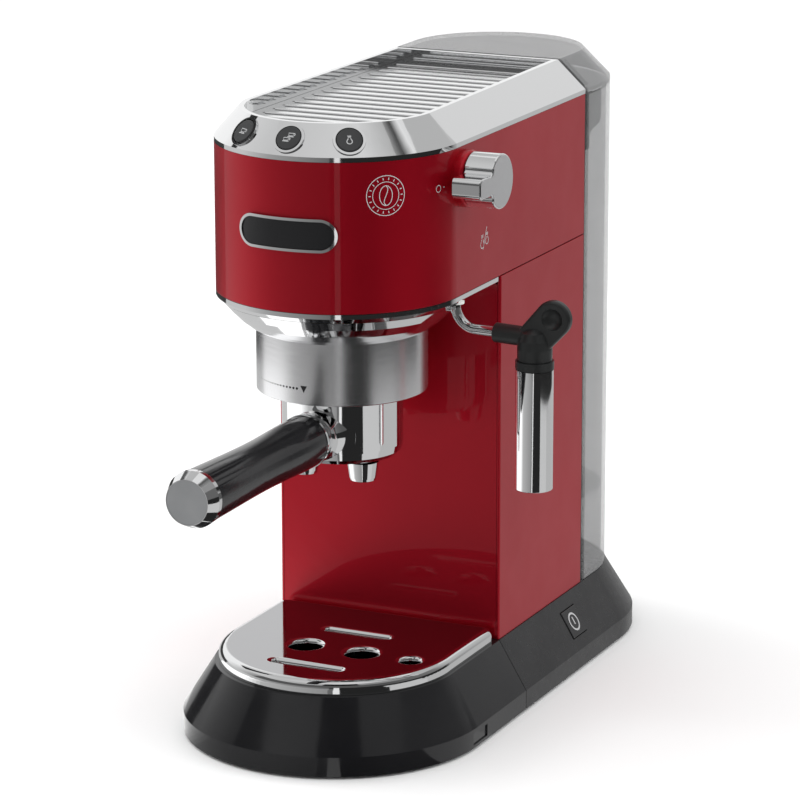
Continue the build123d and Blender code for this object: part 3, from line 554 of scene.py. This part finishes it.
def on_cylinder(radius, angle, z):
    """Places a drawing on an upright cylinder; the angle is from straight ahead, to +X."""
    def place(u, v):
        turn = radians(angle) + u * MM / radius
        reach = radius + MARK_LIFT
        return Vector((reach * sin(turn), -reach * cos(turn), z + v * MM))
    return place


# ---- printed marks -----------------------------------------------------------------------
def cup_shapes(x, y, size, line):
    """A cup with its saucer, seen from the side."""
    bowl = [(x - size, y + 0.5 * size), (x - 0.75 * size, y - 0.5 * size),
            (x + 0.75 * size, y - 0.5 * size), (x + size, y + 0.5 * size),
            (x - size, y + 0.5 * size)]
    handle = arc_points(x + 1.05 * size, y + 0.05 * size, 0.4 * size, -80, 90, 10)
    saucer = [(x - 1.2 * size, y - 0.85 * size), (x + 1.2 * size, y - 0.85 * size)]
    return [stroke(bowl, line), stroke(handle, line), stroke(saucer, line)]


def steam_shapes(x, y, size, line):
    """A drop-shaped cloud with three wisps of steam."""
    cloud = arc_points(x, y - 0.35 * size, 0.62 * size, 140, 400, 24)
    left = [cloud[0], (x - 0.25 * size, y + 0.45 * size)]
    right = [cloud[-1], (x + 0.25 * size, y + 0.45 * size)]
    wisps = [[(x + dx * size, y + 0.65 * size), (x + 1.3 * dx * size, y + 1.2 * size)]
             for dx in (-0.25, 0, 0.25)]
    return [stroke(points, line) for points in (cloud, left, right, *wisps)]


def button_face(joint_name, node):
    """(centre, across, up, out) of a button's face, from its joint and its mesh."""
    out = -Vector(JOINTS[joint_name]["axis"]).normalized()
    verts = [v.co for v in NODES[node].data.vertices]
    reach = max(v.dot(out) for v in verts)
    rim = [v for v in verts if v.dot(out) > reach - 0.01 * MM]
    centre = sum(rim, Vector()) / len(rim)
    across = UP.cross(out).normalized()
    return centre, across, out.cross(across), out


def add_button_icons():
    """One cup, two cups and steam, on the three buttons."""
    line = 0.42
    drawings = {
        "one_cup": cup_shapes(-0.2, 0.1, 1.7, line),
        "two_cups": cup_shapes(-1.0, -0.7, 1.35, line) + cup_shapes(0.9, 1.7, 1.35, line),
        "steam": steam_shapes(0, -0.3, 2.0, line),
    }
    for name, shapes in drawings.items():
        node = f"button_{name}"
        place = on_plane(*button_face(f"{node}_press", node))
        print_mark(f"icon_{name}", shapes, place, node, "satin_grey")


def add_head_marks():
    """Marks printed on the red head: a round bean mark, and the knob's symbols."""
    ring_place = on_cylinder(BODY_HALF, BEAN_ANGLE, BEAN_Z)
    bean = [stroke(arc_points(0, 0, 9.3), 0.35), stroke(arc_points(0, 0, 6.4), 0.3)]
    for side in (-1, 1):
        lobe = arc_points(0, 0, 4.6, 90, 90 + side * 180, 20)
        bean.append(stroke([(0.68 * x, y) for x, y in lobe], 0.35))
    seam = [(0.9 * sin(radians(t)), 4.2 * cos(radians(t / 2))) for t in range(0, 361, 20)]
    bean.append(stroke(seam, 0.35))
    for angle in range(0, 360, 20):
        inner = Vector((cos(radians(angle)), sin(radians(angle))))
        bean.append(stroke([inner * 7.3, inner * 8.4], 0.4))
    print_mark("mark_bean", bean, ring_place, "machine_body", "satin_grey")
    closed = [stroke(arc_points(0, 0, 1.6, steps=24), 0.35), stroke([(3.4, 0.2), (4.6, 0.2)], 0.4)]
    print_mark("mark_closed", closed, on_cylinder(BODY_HALF, CLOSED_ANGLE, CLOSED_Z),
               "machine_body", "satin_grey")
    side = Vector((BODY_HALF, STEAM_Y, STEAM_Z))
    place = on_plane(side, Vector((0, 1, 0)), UP, Vector((1, 0, 0)))
    steam = steam_shapes(-2.6, -1.4, 3.0, 0.4) + steam_shapes(2.9, -0.6, 2.7, 0.4)
    steam.append(stroke([(-1.6, -5.2), (2.6, 5.2)], 0.4))
    print_mark("mark_steam", steam, place, "machine_body", "satin_grey")


def add_collar_marks():
    """A pointer on the collar, and a row of dots that shrinks away from it."""
    place = on_cylinder(COLLAR_R, POINTER_ANGLE, POINTER_Z)
    shapes = [filled([(-1.7, 1.6), (0, -1.7), (1.7, 1.6)])]
    for i in range(POINTER_DOTS):
        shapes.append(dot(-3.6 - 1.95 * i, 0, 0.62 - 0.033 * i))
    print_mark("mark_pointer", shapes, place, "machine_body", "black_gloss")


def flat_top(node, out):
    """The faces of a node that lie furthest out, as (vertices, faces), lifted off it."""
    mesh = NODES[node].data
    reach = max(v.co.dot(out) for v in mesh.vertices)
    verts, faces = [], []
    for face in mesh.polygons:
        corners = [mesh.vertices[i].co for i in face.vertices]
        if min(v.dot(out) for v in corners) > reach - 0.02 * MM:
            faces.append(tuple(range(len(verts), len(verts) + len(corners))))
            verts += [v + out * MARK_LIFT for v in corners]
    return verts, faces


def add_knob_face():
    """Satin outer face of the steam knob, inside its bright edge."""
    verts, faces = flat_top("steam_knob", Vector((1, 0, 0)))
    piece("knob_face", verts, faces, "steam_knob", "chrome", satin_metal())


def add_switch_mark():
    """Circle and bar on the power switch."""
    verts, _ = flat_top("power_switch", SWITCH_OUT)
    centre = sum(verts, Vector()) / len(verts) - SWITCH_OUT * MARK_LIFT
    across = UP.cross(SWITCH_OUT).normalized()
    place = on_plane(centre, across, SWITCH_OUT.cross(across), SWITCH_OUT)
    shapes = [stroke(arc_points(0, 0, 4.4), 1.0), stroke([(0, -1.5), (0, 2.6)], 1.0)]
    print_mark("mark_power", shapes, place, "power_switch", "satin_grey")


def add_tank_brackets():
    """Dark hinge brackets inside the tank's upper front corners."""
    count = len(BRACKET_OUTLINE)
    for name, side in (("right", 1), ("left", -1)):
        verts = [(side * x * MM, y * MM, z * MM) for x in BRACKET_X for y, z in BRACKET_OUTLINE]
        faces = [tuple(range(count)), tuple(range(2 * count - 1, count - 1, -1))]
        faces += [(i, (i + 1) % count, count + (i + 1) % count, count + i) for i in range(count)]
        piece(f"tank_bracket_{name}", verts, faces, "water_tank", "black_plastic")


bpy.context.scene.view_settings.view_transform = "Standard"
paint_nodes()
add_camera()
add_world()
add_lights()
add_cards()
add_floor()
add_button_icons()
add_head_marks()
add_collar_marks()
add_knob_face()
add_switch_mark()
add_tank_brackets()
